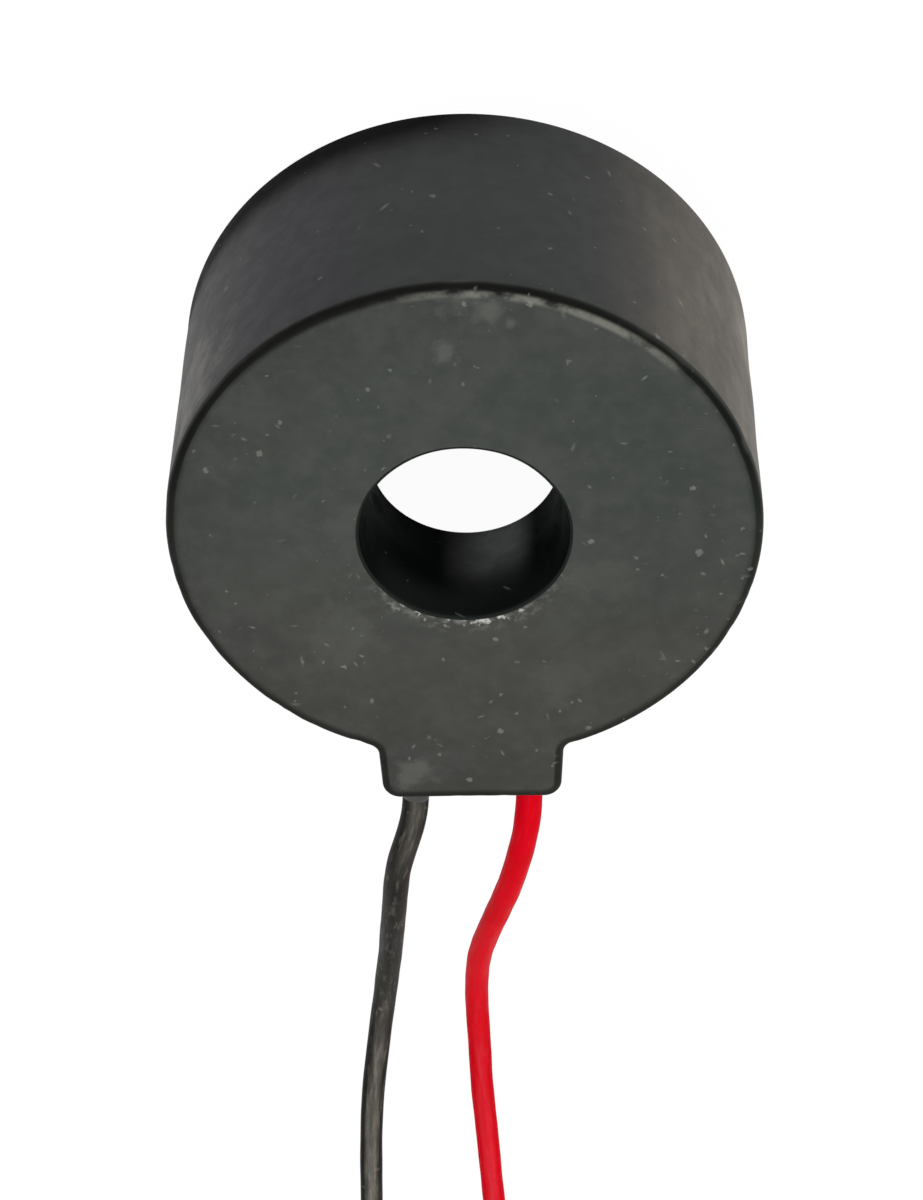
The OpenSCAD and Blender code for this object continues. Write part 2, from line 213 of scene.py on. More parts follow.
def smooth_path(points, count):
    """A cubic curve through the points whose slope and bend run on without a break, as a thin
    springy lath would lie: the bends at the points solve one set of linear equations."""
    step = np.linalg.norm(np.diff(points, axis=0), axis=1)
    at = distances(points)
    slope = np.diff(points, axis=0) / step[:, None]
    ties = np.diag(np.concatenate([[1], 2 * (step[:-1] + step[1:]), [1]]))
    ties += np.diag(np.concatenate([step[:-1], [0]]), -1) + np.diag(np.concatenate([[0], step[1:]]), 1)
    change = np.zeros_like(points)
    change[1:-1] = 6 * np.diff(slope, axis=0)
    bend = np.linalg.solve(ties, change)
    where = np.linspace(0, at[-1], count)
    k = np.clip(np.searchsorted(at, where) - 1, 0, len(step) - 1)
    h, a, b = step[k, None], (at[k + 1] - where)[:, None], (where - at[k])[:, None]
    return ((bend[k] * a ** 3 + bend[k + 1] * b ** 3) / (6 * h)
            + (points[k] / h - bend[k] * h / 6) * a + (points[k + 1] / h - bend[k + 1] * h / 6) * b)


def sweep(path, radius):
    """Points of a tube: at each point of the path a ring lies square to it. The ring's first
    axis is level, and radius is one number, or a column with one value for each ring."""
    along = np.gradient(path, axis=0)
    along /= np.linalg.norm(along, axis=1, keepdims=True)
    level = np.cross(along, [0, 0, 1.0])
    level /= np.linalg.norm(level, axis=1, keepdims=True)
    over = np.cross(level, along)
    angle = np.linspace(0, 2 * np.pi, lead_sides + 1)
    ring = np.cos(angle)[:, None] * level[:, None] + np.sin(angle)[:, None] * over[:, None]
    return path[:, None] + ring * np.broadcast_to(radius, (len(path), lead_sides + 1))[..., None]


def closed(tube, start, end):
    """The tube with a ring shrunk to a point at each end, which closes it."""
    first, last = (np.broadcast_to(point, (1, *tube.shape[1:])) for point in (start, end))
    return np.concatenate([first, tube, last])


# %% Insulation of the leads
def insulated_lead(name, run, centre, side, tail, seed):
    """The insulation is a tube that swells and thins a little along its length, cut off square
    at its end. It rests on the table, not in it."""
    path = smooth_path(np.concatenate([run, coil_turns(centre, side), tail]), lead_rings)
    path[:, 2] = np.maximum(path[:, 2], lead_d / 2)
    distance = np.linspace(0, lead_length / MM, lead_rings)[:, None, None]
    tube = sweep(path, lead_d / 2 + 0.006 * MM * ripple(distance, seed))
    rim = path[-1] + (tube[-1] - path[-1]) * 0.9
    tube = closed(np.concatenate([tube, rim[None]]), path[0], path[-1])
    print(name, "is", round(distances(path)[-1] / MM, 1), "mm long")
    return grid_piece(name, tube), path


# %% [markdown]
# ## Tinned ends
# The insulation is stripped from the last few millimetres. Seven strands are twisted together
# and dipped in solder, which fills the grooves towards the end. Seen end on, six round strands
# stand round a middle one, so the outline is six arcs that turn as they go. Seven wires swept one
# by one would cut through each other where they touch, so the bundle is one surface.

# %% Strands
def tinned_end(name, start, length=4.5 * MM, bundle=0.21 * MM):
    """A twisted bundle: at an angle d from the nearest strand's middle, the outline lies at
    b cos d + sqrt(a^2 - b^2 sin^2 d), for strands of radius a whose middles lie b from the
    axis. Solder blends that outline to a circle, and a dome closes the end."""
    along = np.concatenate([[0], np.linspace(0, 1, 60), np.linspace(1, 1.03, 8)])[:, None] * length
    angle = np.linspace(0, 2 * np.pi, 73)[None]
    twist = 2 * np.pi * along / (7 * MM)
    nearest = (angle + twist + np.pi / 6) % (np.pi / 3) - np.pi / 6
    a, b = bundle / 3, bundle * 2 / 3
    lobes = b * np.cos(nearest) + np.sqrt(np.maximum(a * a - (b * np.sin(nearest)) ** 2, 0))
    solder = smoothstep(along / length, 0.25, 0.75) * 0.8
    radius = lobes + (bundle * 0.98 - lobes) * solder
    dome = np.sqrt(np.clip(1 - ((along / length - 1) / 0.03).clip(0) ** 2, 0, 1))
    radius = radius * dome
    radius[0] = 0
    return grid_piece(name, start + points_at(radius * np.sin(angle), -along, radius * np.cos(angle)))


# %% [markdown]
# ## Ties
# A short strip of soft film holds the two turns of each coil together. It is a thin band along a
# rounded loop, with edges that aren't quite straight. A bent plane with a Solidify modifier would
# have sharp edges, so the band gets a section of its own, with rounded ones.

# %% Ties
def coil_tie(name, node, seed):
    """The band's middle line is a rounded rectangle in the XZ plane, inside the CAD tie's box.
    Across it the section is a flat oval: width along Y, thickness square to the line."""
    low, high = (np.array(corner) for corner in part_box(node))
    middle, half = (low + high) / 2, (high - low) / 2
    thick = 0.25 * MM
    corner = 0.55 * MM
    angle = np.linspace(0, 2 * np.pi, 161)
    side = points_at(np.cos(angle), np.sin(angle))
    straight = half[[0, 2]] - thick / 2 - corner
    line = np.clip(side * 9, -1, 1) * straight + side * corner
    square = np.gradient(line, axis=0)[:, ::-1] * [1, -1]
    square /= np.linalg.norm(square, axis=1, keepdims=True)
    square[-1] = square[0] = [1, 0]
    turn = np.linspace(0, 2 * np.pi, 25)
    width = half[1] * np.sign(np.cos(turn)) * np.abs(np.cos(turn)) ** 0.35
    depth = thick / 2 * np.sign(np.sin(turn)) * np.abs(np.sin(turn)) ** 0.6
    flat = line[:, None] + square[:, None] * depth[None, :, None]
    edge = 1 - 0.06 * (1 + np.sin(angle * 3 + seed)) * np.abs(np.cos(turn))[:, None]
    return grid_piece(name, middle + points_at(flat[..., 0], width[None] * edge.T, flat[..., 1]))


# %% [markdown]
# Both leads are put together in the same way: insulation, tie and tinned end are made and said to
# stand for their CAD nodes.

# %% Put the leads together
lead_paths = {}
for lead, run, centre, side, tail, seed in (("black", black_run, black_coil_at, 1, black_tail, 1),
                                            ("red", red_run, red_coil_at, -1, red_tail, 2)):
    cord, path = insulated_lead(lead + "_insulation", run, centre, side, tail, seed + 2)
    stand_for(cord, lead + "_insulation", lead + "_lead_run", lead + "_lead_coil")
    tie = coil_tie(lead + "_tie", lead + "_coil_tie", seed)
    stand_for(tie, "tie_plastic", lead + "_coil_tie")
    tip = tinned_end(lead + "_tinned_end", tail[-1])
    stand_for(tip, "tinned_copper", lead + "_lead_tip")
    lead_paths[lead] = path

# %% [markdown]
# ## The cup
# The cup is one moulding: round wall, flat front face, bore tube and a nose. Seen from above,
# any ray from the bore's axis crosses each outline once. So the whole skin is one grid: columns
# turn round the axis, and rows follow the section, up the wall, over the face, down the bore,
# round the tube's end and through the hollow back to the rim. Cylinders and boxes joined by
# booleans would need a bevel at each edge. On one grid each rounded edge simply has rows of its
# own, and only the two holes for the leads are cut with a boolean.

# %% Sizes of the cup
case_low, case_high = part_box("case")
bore = next(mount for mount in frame["record"]["mounts"] if mount["name"] == "bore")
cup_r = case_high.y
cup_h = case_high.z
nose_reach = -case_low.y
bore_r = bore["dims"]["r_mm"] * MM
land = bore["dims"]["length_mm"] * MM
tube_end = bore["pos_m"][2] - land / 2
cup_wall, front_t, edge_round, rim_round = 1.1 * MM, 1.2 * MM, 0.3 * MM, 0.08 * MM
edge_wear = 0.3 * MM                  # how far the front edge's nicks and wear reach
tube_r, mouth_r, mouth_round = bore_r + 1.1 * MM, 4.38 * MM, 0.18 * MM
nose_half, nose_corner, nose_fillet, nose_wall = 4.05 * MM, 0.8 * MM, 0.65 * MM, 0.8 * MM
nose_lean = 3                         # degrees, of each side of the nose
cavity_r, cavity_top = cup_r - cup_wall, cup_h - front_t
pocket_top, pocket_in, pocket_round = cup_h - nose_wall, 10.3 * MM, 0.3 * MM
hole_x, hole_z = abs(black_run[0, 0]), black_run[0, 2]
print("cup", round(2 * cup_r / MM, 2), "mm across and", round(cup_h / MM, 2), "mm high")


# %% Outlines in plan
def arc(centre, radius, start, stop):
    """Points on a circle, between two directions in degrees."""
    angle = np.radians(np.linspace(start, stop, 300))
    return np.array(centre) + radius * points_at(np.cos(angle), np.sin(angle))


def cup_outline(inset):
    """Half of the cup's outline, from the middle of the nose's end to the far side: end face,
    corner arc, leaning side, fillet arc and cup arc. Moving it inwards keeps every centre,
    shrinks the outer arcs and widens the fillet."""
    lean = np.radians(nose_lean)
    out = np.array([np.cos(lean), -np.sin(lean)])
    down = np.array([-np.sin(lean), -np.cos(lean)])
    foot = np.array([nose_half, -cup_r])
    corner_y = nose_corner - nose_reach
    corner_x = nose_half + np.tan(lean) * (corner_y + cup_r) - nose_corner / np.cos(lean)
    corner = np.array([corner_x, corner_y])
    away = out @ foot + nose_fillet
    root = away * out + np.sqrt((cup_r + nose_fillet) ** 2 - away ** 2) * down
    root_way = np.degrees(np.arctan2(root[1], root[0]))
    end_y = inset - nose_reach
    turned = arc(corner, nose_corner - inset, -90, -nose_lean)
    hollow = arc(root, nose_fillet + inset, 180 - nose_lean, 180 + root_way)
    return np.concatenate([np.linspace([0, end_y], [corner_x, end_y], 200), turned,
                           np.linspace(turned[-1], hollow[0], 200)[1:-1], hollow,
                           arc((0, 0), cup_r - inset, root_way, 90)[1:]])


def hollow_outline():
    """Half of the hollow's outline: the pocket in the nose, then the round cavity."""
    x, end_y = nose_half - nose_wall, nose_wall - nose_reach
    meet = -np.sqrt(cavity_r ** 2 - x ** 2)
    turned = arc((x - pocket_round, end_y + pocket_round), pocket_round, -90, 0)
    start = np.degrees(np.arctan2(meet, x))
    return np.concatenate([np.linspace([0, end_y], turned[0], 200)[:-1], turned,
                           np.linspace(turned[-1], [x, meet], 200)[1:-1],
                           arc((0, 0), cavity_r, start, 90)])


def reach(outline, turn):
    """Distance from the bore's axis to an outline, along rays turned away from the nose."""
    at = np.arctan2(outline[:, 0], -outline[:, 1])
    return np.interp(np.abs(turn), at, np.hypot(*outline.T))


# %% [markdown]
# The rays lie closer together round the nose, where the outline bends most. The grid's points
# are then x = r sin t and y = -r cos t, where t is the ray's turn away from the nose.

# %% The cup's skin
pocket_side = np.degrees(np.arcsin((nose_half - nose_wall) / cavity_r))
half_turn = np.sort(np.concatenate([np.arange(0, 27, 0.2), np.arange(27, 180.5, 1.5),
                                    pocket_side + np.array([-0.01, 0.01])]))
turn = np.radians(np.concatenate([-half_turn[:0:-1], half_turn]))
quarter = np.radians(np.linspace(0, 90, 10))
grow, shrink = 1 - np.cos(quarter), 1 - np.sin(quarter)     # the two legs of a rounded edge


def outer_skin():
    """Rows from the rim up the wall and round the front edge. The wall waves by hundredths of a
    millimetre, as a moulding does, and the front edge has small nicks at chance places."""
    straight = np.linspace(rim_round, cup_h - edge_round, 26)[1:-1]
    inset = np.concatenate([rim_round * shrink, 0 * straight, edge_round * grow])
    height = np.concatenate([rim_round * grow, straight, cup_h - edge_round * shrink])
    radius = np.stack([reach(cup_outline(i), turn) for i in inset])
    height = np.broadcast_to(height[:, None], radius.shape).copy()
    place = points_at(radius * np.sin(turn), radius * np.cos(turn), height) / MM
    radius += 0.012 * MM * ripple(place * 0.5, 11) * (height > 2 * rim_round)
    chance = np.random.default_rng(5)
    nick_count = 40
    where = chance.uniform(-np.pi, np.pi, (nick_count, 1))
    wide = chance.uniform(0.012, 0.04, (nick_count, 1))
    deep = chance.uniform(0.005, 0.022, (nick_count, 1)) * MM
    gap = (turn - where + np.pi) % (2 * np.pi) - np.pi
    nicks = (deep * np.exp(-(gap / wide) ** 2)).sum(axis=0)
    near = np.exp(-((cup_h - edge_round / 2 - height) / edge_wear) ** 2)
    return radius - nicks * near, height - nicks * near * (height > cup_h / 2)


def face_and_bore(outer):
    """Rows from the front edge inwards: a face that sinks a little between edge and bore, the
    bore's rounded mouth, its taper and its straight land."""
    share = np.linspace(0, 1, 30)[1:-1, None]
    lip = mouth_r + mouth_round + 0.012 * MM * np.sin(5 * turn + 1) * np.sin(3 * turn)
    face = outer + (lip - outer) * share, cup_h - 0.03 * MM * np.sin(np.pi * share)
    mouth = lip - mouth_round * np.sin(quarter)[:, None], cup_h - mouth_round * grow[:, None]
    slide = np.linspace(0, 1, 12)[1:, None]
    taper = (mouth[0][-1] + (bore_r - mouth[0][-1]) * slide,
             cup_h - mouth_round + (tube_end + land - cup_h + mouth_round) * slide)
    straight = bore_r, tube_end + land + (rim_round - land) * slide
    return face, mouth, taper, straight


def inner_skin():
    """Rows from the bore's inner end round the tube's end, up its outside, along the roof, over
    the pocket's step and down the inside of the wall to the rim."""
    out, up = rim_round * grow[:, None], rim_round * shrink[:, None]
    wall = reach(hollow_outline(), turn)
    in_pocket = np.abs(turn) < np.radians(pocket_side)
    top = np.where(in_pocket, pocket_top, cavity_top)
    step = np.where(in_pocket, pocket_in / np.cos(turn), pocket_in + 0.3 * MM)
    down = np.linspace(1, 0, 8)[:, None]
    roof = np.full_like(turn, cavity_top)
    return (
        (bore_r + out, tube_end + up),
        (tube_r - up, tube_end + out),
        (np.stack([np.full_like(turn, tube_r), step, step, wall]), np.stack([roof, roof, top, top])),
        (wall, rim_round + (top - rim_round) * down),
        (wall + out, up))


# %% Join the rows
def cup_case():
    """Stacks the rows and marks which points lie on the outside wall and in the bore, and how near
    the front edge they are. A row given by one number is filled out over all the rays. The first
    row comes again at the end, so neither is on the wall."""
    wall = outer_skin()
    again = wall[0][:1], wall[1][:1]
    sections = [np.broadcast_arrays(*section, turn)
                for section in (wall, *face_and_bore(wall[0][-1]), *inner_skin(), again)]
    radius = np.concatenate([section[0] for section in sections])
    height = np.concatenate([section[1] for section in sections])
    rows = np.repeat(np.arange(len(sections)), [len(section[0]) for section in sections])[:, None]
    outside = rows == 0
    facing = (rows == 1) | (rows == 2)
    rim_gap = np.where(outside, cup_h - height, np.abs(wall[0][-1] - radius))
    points = points_at(radius * np.sin(turn), -radius * np.cos(turn), height)
    on_wall = outside & (height < cup_h - edge_round) & (height > rim_round / 2)
    return grid_piece("cup", points, wall=on_wall, bore=(rows > 1) & (rows < 6),
                      rim=np.exp(-(rim_gap / edge_wear) ** 2) * (outside | facing))


def drill_lead_holes(case):
    """Cuts the leads' two holes through the nose's end wall with two round bars."""
    outside, inside = -nose_reach - 1 * MM, -nose_reach + 1.6 * MM
    for x in (-hole_x, hole_x):
        path = np.linspace([x, outside, hole_z], [x, inside, hole_z], 3)
        bar = sweep(path, lead_d / 2 + 0.03 * MM)
        cutter = grid_piece("lead_hole", closed(bar, path[0], path[-1]))
        cut = case.modifiers.new("lead_hole", "BOOLEAN")
        cut.object = cutter
        cut.solver = "EXACT"
        shape = bpy.data.meshes.new_from_object(case.evaluated_get(bpy.context.evaluated_depsgraph_get()))
        case.modifiers.clear()
        case.data = shape
        bpy.data.objects.remove(cutter)
    case.data.set_sharp_from_angle(angle=np.radians(50))
    print("cup with its lead holes:", len(case.data.polygons), "faces")


cup = cup_case()
drill_lead_holes(cup)
stand_for(cup, "cup_plastic", "case")

# %% [markdown]
# ## Resin in the back
# Seen from behind, the potting resin fills the cup behind the bore tube. It wets the walls, so
# its surface climbs them in a soft fillet, and a few small bubbles broke as it cured. Sculpting
# would do for one cup. A thin skin over the CAD resin is worked out instead from each point's
# distance to the nearest wall, so that it follows the cup if its sizes change.

# %% Resin skin
potting_low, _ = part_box("potting")


def resin_skin():
    """Depth below the flat level at a distance d from a wall is the climb times exp(-d / reach),
    where the pocket's side walls start at its mouth. Bubbles are shallow round pits, and a slow
    ripple runs over it all. The skin stays a few hundredths of a millimetre off the CAD resin
    everywhere, so that one never shows through."""
    hair = 0.01 * MM
    wall = reach(hollow_outline(), turn) - hair
    share = np.linspace(0, 1, 60)[:, None]
    share = share - 0.12 * np.sin(2 * np.pi * share)
    radius = tube_r + hair + (wall - tube_r - hair) * share
    x, y = radius * np.sin(turn), -radius * np.cos(turn)
    side_x = nose_half - nose_wall
    mouth_y = -np.sqrt(cavity_r ** 2 - side_x ** 2)
    to_side = np.hypot(np.maximum(y - mouth_y, 0), np.abs(x) - side_x)
    to_wall, to_tube = np.minimum(wall - radius, to_side) / MM, (radius - tube_r) / MM
    climb = 0.55 * np.exp(-to_wall / 0.35) + 0.2 * np.exp(-to_tube / 0.3) + 0.14
    place = points_at(x, y, 0) / MM
    climb = climb * (1 + 0.15 * ripple(place * 0.8, 21)) + 0.02 * ripple(place * 0.45, 22)
    chance = np.random.default_rng(9)
    bubbles = 14
    for _ in range(bubbles):
        way, far, size = chance.uniform(-np.pi, np.pi), chance.uniform(6, 10.5), chance.uniform(0.1, 0.3)
        gap = np.hypot(place[..., 0] - far * np.sin(way), place[..., 1] + far * np.cos(way)) / size
        climb += 0.1 * size * (np.exp(-((gap - 1.1) / 0.35) ** 2) - 2.4 * np.exp(-gap ** 2))
    low = potting_low.z - np.maximum(climb, 0.04) * MM
    hidden = np.full((1, len(turn)), potting_low.z)
    x, y = (np.concatenate([flat[:1], flat, flat[-1:], flat[:1]]) for flat in (x, y))
    return grid_piece("resin_skin", points_at(x, y, np.concatenate([hidden, low, hidden, hidden])))


stand_for(resin_skin(), "potting_resin")

# %% [markdown]
# ## Bead on the black lead
# A little resin crept out along the black lead and cured in the cup's colour. It spreads onto the
# nose like a trumpet's bell and thins to nothing along the insulation. A squashed ball would look
# stuck on, so the bead is a sleeve round the lead, and a formula gives its thickness.

# %% Bead
def exit_bead():
    """Its thickness over the lead, at a share s of its length, is a thin film times the root of
    1 - s squared, plus a flare that dies away as exp(-5 s). Its length changes round the lead."""
    low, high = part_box("exit_bead")
    angle = np.linspace(0, 2 * np.pi, 61)
    length = (high.y - low.y) * (0.85 + 0.1 * np.sin(angle + 1) + 0.05 * np.sin(3 * angle))
    share = np.linspace(0, 1, 24)[:, None]
    over = 0.09 * np.sqrt(1 - share ** 2) + 0.26 * np.exp(-5 * share)
    over = over * (1 + 0.12 * np.sin(2 * angle + 0.7) * (1 - share))
    under = np.full((3, len(angle)), lead_d / 2 - 0.02 * MM)
    radius = np.concatenate([lead_d / 2 + over * MM, under, lead_d / 2 + over[:1] * MM])
    share = np.concatenate([share, [[1], [0.5], [0], [0]]])
    near_nose = lead_paths["black"][:60]
    along = distances(near_nose)
    middle = points_at(*(np.interp(share * length, along, axis) for axis in near_nose.T))
    ring = points_at(np.cos(angle), 0, np.sin(angle))
    return grid_piece("exit_bead_skin", middle + radius[..., None] * ring)


stand_for(exit_bead(), "resin_bead", "exit_bead")

# %% [markdown]
# ## Shader helpers
# A finish is a tree of shader nodes. Colours are chosen on the usual 0 to 255 scale and turned
# into the linear values that light works in, and they are laid over each other like coats of
# paint: each coat has a colour, and masks that say where and how thickly it lies. Effects that
# several finishes share, such as mottling, specks and scuffs, are node groups with named inputs,
# built once. A helper finds the tree that it works in from the node outputs that it is given.

# %% Node helpers
def paint(red, green, blue):
    """A linear colour from one on the 0 to 255 scale of a screen."""
    level = np.array([red, green, blue]) / 255
    return (*np.where(level <= 0.04045, level / 12.92, ((level + 0.055) / 1.055) ** 2.4), 1.0)


def tree_of(values):
    """The node tree that the node outputs among the values belong to."""
    return next(value.id_data for value in values if isinstance(value, bpy.types.NodeSocket))


def feed(socket, value):
    """Joins another node's output to the socket, or sets the socket to a plain value."""
    if isinstance(value, bpy.types.NodeSocket):
        socket.id_data.links.new(value, socket)
    else:
        socket.default_value = value


def fill(node, inputs):
    """Feeds a node's inputs by name, where _ stands for a space."""
    for name, value in inputs.items():
        feed(node.inputs[name.replace("_", " ")], value)


def add(kind, options=None, tree=None, **inputs):
    """Adds a node with its options and feeds its inputs by name. A node that is fed by no other
    needs to be told its tree."""
    tree = tree or tree_of(inputs.values())
    node = tree.nodes.new("ShaderNode" + kind)
    for option, value in (options or {}).items():
        setattr(node, option, value)
    fill(node, inputs)
    return node


# %% Arithmetic in nodes
def sums(operation, *values):
    """One step of arithmetic, kept between 0 and 1 where the operation ends in an exclamation mark."""
    options = {"operation": operation.rstrip("!"), "use_clamp": operation.endswith("!")}
    node = add("Math", options, tree_of(values))
    for socket, value in zip(node.inputs, values):
        feed(socket, value)
    return node.outputs[0]


def times(*values):
    """The product of several values."""
    return reduce(lambda first, second: sums("MULTIPLY", first, second), values)


def most(*values):
    """The highest of several values."""
    return reduce(lambda first, second: sums("MAXIMUM", first, second), values)


def size_of(value):
    """A value without its sign."""
    return sums("ABSOLUTE", value)


def rest_of(mask):
    """1 where the mask is 0, and 0 where it is 1."""
    return sums("SUBTRACT", 1, mask)


def between(value, low, high, start=0, end=1):
    """An S-shaped change from start to end, while value goes from low to high."""
    node = add("MapRange", {"interpolation_type": "SMOOTHSTEP"}, Value=value, From_Min=low,
               From_Max=high, To_Min=start, To_Max=end)
    return node.outputs["Result"]


def between_mm(value, low, high, start=0, end=1):
    """The same change for a place or distance, with low and high in millimetres."""
    return between(value, low * MM, high * MM, start, end)


def vector(operation, first, second):
    """One step of arithmetic on vectors. The second is a number for SCALE, and DISTANCE gives one."""
    node = add("VectorMath", {"operation": operation}, tree_of([first]))
    feed(node.inputs[0], first)
    feed(node.inputs["Scale" if operation == "SCALE" else 1], second)
    return node.outputs["Value" if operation == "DISTANCE" else "Vector"]


def parts(place):
    """X, Y and Z of a vector."""
    split = add("SeparateXYZ", Vector=place)
    return [split.outputs[axis] for axis in "XYZ"]


def from_axis(x, y):
    """Distance from the bore's axis: the root of x squared plus y squared."""
    return sums("SQRT", sums("ADD", times(x, x), times(y, y)))


def noise(place, scale, detail, roughness=0.5):
    """Cloudy noise round 0.5, with finer noise added as often as detail says."""
    return add("TexNoise", Vector=place, Scale=scale, Detail=detail, Roughness=roughness).outputs["Fac"]


# %% Colours in nodes
def blend(share, first, second):
    """A colour on the way from first to second. Each is a node's output, or levels from 0 to 255."""
    node = add("Mix", {"data_type": "RGBA"}, tree_of([share, first, second]))
    feed(node.inputs[0], share)
    for index, colour in ((6, first), (7, second)):
        feed(node.inputs[index], paint(*colour) if isinstance(colour, tuple) else colour)
    return node.outputs[2]


def coats(base, *layers):
    """Lays coats over a base colour, one after the other. Each is a colour and the masks whose
    product says how thickly it lies."""
    colour = base
    for coat, *masks in layers:
        colour = blend(times(*masks), colour, coat)
    return colour


# %% Node groups
def effect(name, vectors, **numbers):
    """Starts a shader node group with vector inputs, number inputs with their usual values, and
    one mask as its output."""
    group = bpy.data.node_groups.new(name, "ShaderNodeTree")
    for label in vectors:
        group.interface.new_socket(label, in_out="INPUT", socket_type="NodeSocketVector")
    for label, usual in numbers.items():
        socket = group.interface.new_socket(label, in_out="INPUT", socket_type="NodeSocketFloat")
        socket.default_value = usual
    group.interface.new_socket("Mask", in_out="OUTPUT", socket_type="NodeSocketFloat")
    given = group.nodes.new("NodeGroupInput").outputs
    return group, given, group.nodes.new("NodeGroupOutput").inputs["Mask"]


def use(group, place, **inputs):
    """Puts a group in the tree, feeds it the place and its other inputs, and returns its mask."""
    return add("Group", {"node_tree": group}, Place=place, **inputs).outputs["Mask"]


# %% Effect: mottling
# Soft patches: noise that counts as 0 up to Low and as 1 from High.
mottling, given, mask = effect("mottling", ["Place"], Scale=300, Low=0.4, High=0.6)
cloud = noise(given["Place"], given["Scale"], 7, 0.6)
feed(mask, between(cloud, given["Low"], given["High"]))

# %% Effect: specks
# Each cell of a Voronoi texture holds one speck, of a chance size, and some cells stay empty. The
# place is first shifted by fine noise, so that no speck is quite round.
specks, given, mask = effect("specks", ["Place"], Scale=900, Size=0.2, Share=0.3)
warp = add("TexNoise", Vector=given["Place"], Scale=4500, Detail=2).outputs["Color"]
bent = vector("ADD", given["Place"], vector("SCALE", warp, 0.35 * MM))
cell = add("TexVoronoi", Vector=bent, Scale=given["Scale"])
chance = add("SeparateColor", Color=cell.outputs["Color"])
there = sums("LESS_THAN", chance.outputs["Red"], given["Share"])
size = times(given["Size"], chance.outputs["Green"])
feed(mask, times(between(cell.outputs["Distance"], times(size, 0.6), size, 1, 0), there))

# %% Effect: scuffs
# Each cell holds a short thin line: the place is measured from the cell's middle and turned by a
# chance angle, and the line is where it is near zero one way and within Length the other two.
scuffs, given, mask = effect("scuffs", ["Place"], Scale=300, Width=0.03, Length=0.35, Share=0.3)
cell = add("TexVoronoi", Vector=given["Place"], Scale=given["Scale"])
offset = vector("SUBTRACT", vector("SCALE", given["Place"], given["Scale"]),
                vector("SCALE", cell.outputs["Position"], given["Scale"]))
spin = vector("SCALE", cell.outputs["Color"], 6.28)
turned = add("VectorRotate", {"rotation_type": "EULER_XYZ"}, Vector=offset, Rotation=spin)
chance = add("SeparateColor", Color=cell.outputs["Color"])
long = times(given["Length"], chance.outputs["Green"])
line = [between(size_of(part), 0, limit, 1, 0)
        for part, limit in zip(parts(turned.outputs[0]), (given["Width"], long, long))]
feed(mask, times(*line, sums("LESS_THAN", chance.outputs["Blue"], given["Share"])))

# %% Effect: patch
# A soft-edged worn place round a point: 1 at its middle, 0 at its radius, broken up by noise.
patch, given, mask = effect("patch", ["Place", "Middle"], Radius=0.003, Breakup=900)
gap = vector("DISTANCE", given["Place"], given["Middle"])
inside = rest_of(sums("DIVIDE", gap, given["Radius"]))
ragged = times(sums("SUBTRACT", noise(given["Place"], given["Breakup"], 6, 0.65), 0.5), 2.2)
feed(mask, between(sums("ADD", inside, ragged), 0.25, 0.9))
print("effects:", [group.name for group in bpy.data.node_groups])


# %% Start and end of a finish
def finish_of(name, **constants):
    """A new material, and the point's place on the object. Numbers that are the same all over the
    surface are set on the Principled shader's own sockets."""
    material = bpy.data.materials.new(name)
    material.use_nodes = True
    fill(material.node_tree.nodes["Principled BSDF"], constants)
    return material, add("TexCoord", tree=material.node_tree).outputs["Object"]


def surface(material, height, depth, **looks):
    """Feeds the shader its colour and gloss by name, and bends its normals as if the surface were
    raised by height times depth, in metres."""
    bump = add("Bump", Height=height, Distance=depth, Strength=1)
    looks["Normal"] = bump.outputs["Normal"]
    fill(material.node_tree.nodes["Principled BSDF"], looks)
    return material


# %% [markdown]
# ## Finish of the cup
# The cup is dark grey phenolic moulding that has been handled a good deal. Its face is a mottled,
# slightly green grey with a few pale specks, and its front edge has a dark line of painted shade
# with a painted highlight inside it, partly wear. The wall is bluish and darkens towards its foot
# on one side, as painted shade where it meets the table, and is worn to a warm grey with pale
# streaks on the other, which brighten along its far edge as a painted highlight. Chalky dust sits
# below the bore's mouth. The bore is painted nearly black as painted shade, because little light
# gets into it, with painted light by its mouth and a pale stripe of painted reflection. An image
# laid over the cup could carry all this, but it would blur close up and stretch round the edges.
# Noise measured in metres has the same grain everywhere, and where a mark lies is worked out from
# a point's place and from the marks on the grid.

# %% Marks and worn places
def mark(material, name):
    """A point attribute of the piece, such as how near the front edge a point lies."""
    return add("Attribute", {"attribute_name": name}, material.node_tree).outputs["Fac"]


def worn_at(place, spots, breakup=900):
    """Worn patches, each given by X, Y, Z and radius in millimetres."""
    return most(*(use(patch, place, Middle=(x * MM, y * MM, z * MM), Radius=radius * MM, Breakup=breakup)
                  for x, y, z, radius in spots))


